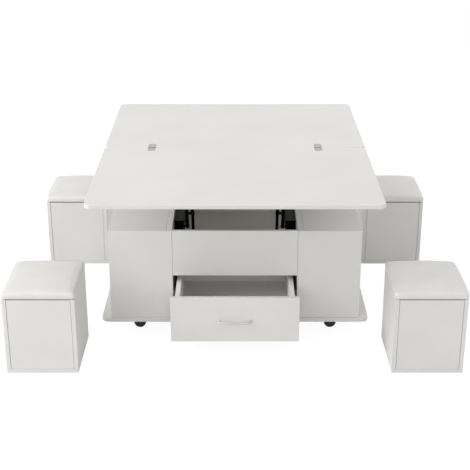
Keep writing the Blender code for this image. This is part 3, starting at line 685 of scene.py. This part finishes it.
HANDLE_BOW = 4 * MM
HANDLE_SCREW_RADIUS = 4.2 * MM
HANDLE_SCREW_HEIGHT = 2.4 * MM
CAP_PROFILE = ((0.0, 0.9 * MM), (3 * MM, 0.88 * MM), (6 * MM, 0.75 * MM), (8 * MM, 0.5 * MM),
               (8.8 * MM, 0.2 * MM), (9 * MM, 0.0))
CAP_PLACES = (-240 * MM, 0.0, 240 * MM)
CAP_INSET = 34 * MM
WHEEL_HALF_GAP = 6.8 * MM
WHEEL_SIDES = 48
WHEEL_POCKETS = 6
POCKET_ROWS = slice(12, 16)
POCKET_DEPTH = 2.2 * MM
AXLE_RADIUS = 3 * MM


def make_handle():
    """The drawer's bar: straight out of the front, a quarter turn, and a run bowed outwards by
    bow cos(s)^1.2, where s goes from -90 to 90 degrees along the run."""
    low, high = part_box("drawer_handle")
    radius = (high.z - low.z) / 2
    level = (high.z + low.z) / 2
    half = high.x - radius
    face = high.y
    out = low.y + radius + HANDLE_BOW
    bend = (face - out) / 2
    turn = np.linspace(0.0, math.pi / 2, 12)
    foot = np.linspace(face, out + bend, 5)[:-1]
    right_x = np.concatenate((np.full(4, half), half - bend * (1 - np.cos(turn))))
    right_y = np.concatenate((foot, out + bend - bend * np.sin(turn)))
    span = np.linspace(half - bend, -(half - bend), 40)[1:-1]
    middle = out - HANDLE_BOW * np.cos(span / (half - bend) * math.pi / 2) ** 1.2
    x = np.concatenate((right_x, span, -right_x[::-1]))
    y = np.concatenate((right_y, middle, right_y[::-1]))
    path = np.column_stack((x, y, np.full(len(x), level)))
    piece = surface("drawer_bar_handle", [tube(path, radius, (0, 0, 1), 28)], ENAMEL, 60.0)
    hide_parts("drawer_handle")
    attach(piece, "drawer")
    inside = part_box("drawer_front")[1].y
    heads = [screw_head((side * half, inside, level), (0, 1, 0), HANDLE_SCREW_RADIUS,
                        HANDLE_SCREW_HEIGHT) for _, side in HANDS]
    screws = surface("drawer_handle_screws", heads, SCREW_ZINC)
    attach(screws, "drawer")


def make_cam_caps():
    """Round caps over the cam fasteners of the stool bays: a low dome with a bevelled rim."""
    base_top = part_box("base_board")[1].z
    for hand, side in HANDS:
        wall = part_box(f"{hand}_partition")
        face = wall[0].x if side < 0 else wall[1].x
        levels = (base_top + CAP_INSET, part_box(f"{hand}_bay_top")[0].z - CAP_INSET)
        caps = [turned(CAP_PROFILE, (face, y, z), (side, 0, 0), 32)
                for y in CAP_PLACES for z in levels]
        piece = surface(f"{hand}_cam_caps", caps, CAP)
        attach(piece, "base")


def wheel_profile(radius, half):
    """One wheel's section as points of radius and height along the axle: out over the inner face,
    across the tread with its groove, and in over the rim, the floor of the pockets and the hub."""
    inner = WHEEL_HALF_GAP
    return ((0.0, inner), (radius - 1.5 * MM, inner), (radius - 0.3 * MM, inner + 1.2 * MM),
            (radius, inner + 3.5 * MM), (radius, inner + 6 * MM),
            (radius - 0.7 * MM, inner + 6.3 * MM), (radius - 0.7 * MM, inner + 7.2 * MM),
            (radius, inner + 7.5 * MM), (radius, half - 4 * MM),
            (radius - 0.5 * MM, half - 2 * MM), (radius - 2 * MM, half - 0.6 * MM),
            (radius - 3.5 * MM, half - 0.4 * MM), (radius - 4.2 * MM, half - 1.6 * MM),
            (radius - 7 * MM, half - 1.8 * MM), (radius - 11 * MM, half - 1.8 * MM),
            (radius - 14 * MM, half - 1.6 * MM), (radius - 15 * MM, half - 0.5 * MM),
            (radius - 17 * MM, half), (0.0, half))


def make_caster_wheels():
    """Twin moulded wheels on a short axle. Each outer face has shallow pockets between its rim and
    hub, cut by depth ((1 - cos nt) / 2)^2 at angle t, where n is the number of pockets."""
    for label in LABELS:
        low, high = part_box(f"caster_wheels_{label}")
        centre = np.array((low + high) / 2)
        radius = (high.z - low.z) / 2
        half = (high.y - low.y) / 2
        turn = np.linspace(0.0, math.tau, WHEEL_SIDES, endpoint=False)
        pocket = POCKET_DEPTH * ((1 - np.cos(WHEEL_POCKETS * turn)) / 2) ** 2
        grids = []
        for side in (-1.0, 1.0):
            grid = turned(wheel_profile(radius, half), centre, (0, side, 0), WHEEL_SIDES)
            grid[POCKET_ROWS, :, 1] -= side * pocket
            grids.append(grid)
        reach = WHEEL_HALF_GAP + MM
        axle = [(0.0, -reach), (AXLE_RADIUS, -reach), (AXLE_RADIUS, reach), (0.0, reach)]
        grids.append(turned(axle, centre, (0, 1, 0), 24))
        piece = surface(f"caster_{label}_twin_wheels", grids, NYLON)
        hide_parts(f"caster_wheels_{label}")
        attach(piece, f"wheels_{label}")


make_cushions()
make_hinge_screws()
make_rail_screws()
make_springs()
make_handle()
make_cam_caps()
make_caster_wheels()


# Floor, light and camera

FLOOR_REACH = 12.0
FLOOR_GLOW = 0.93
FLOOR_GLOSS_SHARE = 0.6
WORLD_LEVEL = 0.485
CAMERA_PLACE = (0.0, -4.349, 2.045)
CAMERA_TILT = math.radians(68.12)
CAMERA_LENS = 82.39


def floor_material():
    """Seamless white studio paper. Seen by the camera, and in part in reflections, it is all but
    white and keeps the shadow faintly. To other rays it is matt paper, which throws light up."""
    material = bpy.data.materials.new("white_paper_sweep")
    material.use_nodes = True
    tree = material.node_tree
    tree.nodes.clear()
    paper = add(tree, "ShaderNodeBsdfDiffuse", {"Color": (0.78, 0.78, 0.78, 1.0)})
    faint = add(tree, "ShaderNodeBsdfDiffuse", {"Color": (0.16, 0.16, 0.16, 1.0)})
    glow = add(tree, "ShaderNodeEmission", {"Color": (1.0, 1.0, 1.0, 1.0), "Strength": FLOOR_GLOW})
    seen = add(tree, "ShaderNodeAddShader", {0: faint.outputs[0], 1: glow.outputs[0]})
    rays = add(tree, "ShaderNodeLightPath")
    gloss = add(tree, "ShaderNodeMath", {0: rays.outputs["Is Glossy Ray"], 1: FLOOR_GLOSS_SHARE},
                operation="MULTIPLY")
    share = add(tree, "ShaderNodeMath", {0: rays.outputs["Is Camera Ray"], 1: gloss.outputs[0]},
                operation="MAXIMUM")
    mixed = add(tree, "ShaderNodeMixShader",
                {0: share.outputs[0], 1: paper.outputs[0], 2: seen.outputs[0]})
    output = add(tree, "ShaderNodeOutputMaterial")
    tree.links.new(mixed.outputs[0], output.inputs["Surface"])
    return material


def make_floor():
    """A wide flat sheet on the ground."""
    mesh = bpy.data.meshes.new("studio_floor")
    corners = [(x * FLOOR_REACH, y * FLOOR_REACH, 0) for x, y in ((-1, -1), (1, -1), (1, 1), (-1, 1))]
    mesh.from_pydata(corners, [], [(0, 1, 2, 3)])
    mesh.materials.append(floor_material())
    floor = bpy.data.objects.new("studio_floor", mesh)
    bpy.context.scene.collection.objects.link(floor)


def make_world(level):
    """A plain white surround: white to the eye and in reflections, softer and warmer as light."""
    world = bpy.data.worlds.new("studio_surround")
    bpy.context.scene.world = world
    world.use_nodes = True
    tree = world.node_tree
    tree.nodes.clear()
    lit = add(tree, "ShaderNodeBackground", {"Color": (1.0, 0.988, 0.965, 1.0), "Strength": level})
    seen = add(tree, "ShaderNodeBackground", {"Color": (1.0, 1.0, 1.0, 1.0), "Strength": 1.0})
    rays = add(tree, "ShaderNodeLightPath")
    view_or_gloss = add(tree, "ShaderNodeMath", {0: rays.outputs["Is Camera Ray"],
                                                 1: rays.outputs["Is Glossy Ray"]},
                        operation="MAXIMUM")
    direct = add(tree, "ShaderNodeMath", {0: view_or_gloss.outputs[0],
                                          1: rays.outputs["Is Transmission Ray"]},
                 operation="MAXIMUM")
    mixed = add(tree, "ShaderNodeMixShader",
                {0: direct.outputs[0], 1: lit.outputs[0], 2: seen.outputs[0]})
    output = add(tree, "ShaderNodeOutputWorld")
    tree.links.new(mixed.outputs[0], output.inputs["Surface"])


def softbox(name, place, aim, size, power, mirrored=False):
    """A square lamp at a place, turned to aim at a point. One that isn't mirrored leaves no glare
    on the boards, as if seen through a polarizer."""
    data = bpy.data.lights.new(name, "AREA")
    data.shape = "SQUARE"
    data.size = size
    data.energy = power
    lamp = bpy.data.objects.new(name, data)
    bpy.context.scene.collection.objects.link(lamp)
    lamp.visible_glossy = mirrored
    lamp.location = place
    lamp.rotation_euler = (Vector(aim) - Vector(place)).to_track_quat("-Z", "Y").to_euler()


def make_camera():
    """Stands in front of the table, above its top, and looks down."""
    data = bpy.data.cameras.new("camera")
    data.sensor_width = 36.0
    data.lens = CAMERA_LENS
    camera = bpy.data.objects.new("camera", data)
    bpy.context.scene.collection.objects.link(camera)
    camera.location = CAMERA_PLACE
    camera.rotation_euler = (CAMERA_TILT, 0.0, 0.0)
    bpy.context.scene.camera = camera


make_floor()
make_world(WORLD_LEVEL)
softbox("key_softbox", (-3.0, -3.4, 3.2), (0.0, 0.0, 0.3), 2.2, 36.0, mirrored=True)
softbox("top_softbox", (0.0, -0.5, 4.0), (0.0, -0.2, 0.3), 3.0, 12.0, mirrored=True)
softbox("left_high_softbox", (-6.6, -1.2, 4.05), (0.0, 0.0, 0.4), 2.4, 160.0)
softbox("left_softbox", (-7.4, -1.3, 2.3), (0.0, 0.0, 0.4), 3.5, 118.0)
softbox("left_low_softbox", (-3.6, -3.6, 1.2), (0.0, 0.0, 0.35), 2.0, 8.0)
softbox("right_low_softbox", (3.6, -3.6, 1.2), (0.0, 0.0, 0.35), 2.0, 6.0)
softbox("front_softbox", (0.0, -9.0, 2.7), (0.0, 0.0, 0.4), 4.2, 98.0)
softbox("right_softbox", (4.0, -0.6, 1.4), (0.0, 0.0, 0.4), 2.2, 10.0)
softbox("right_back_softbox", (3.0, 2.4, 2.8), (0.0, 0.0, 0.4), 2.2, 40.0)
make_camera()
bpy.context.scene.view_settings.view_transform = "Standard"
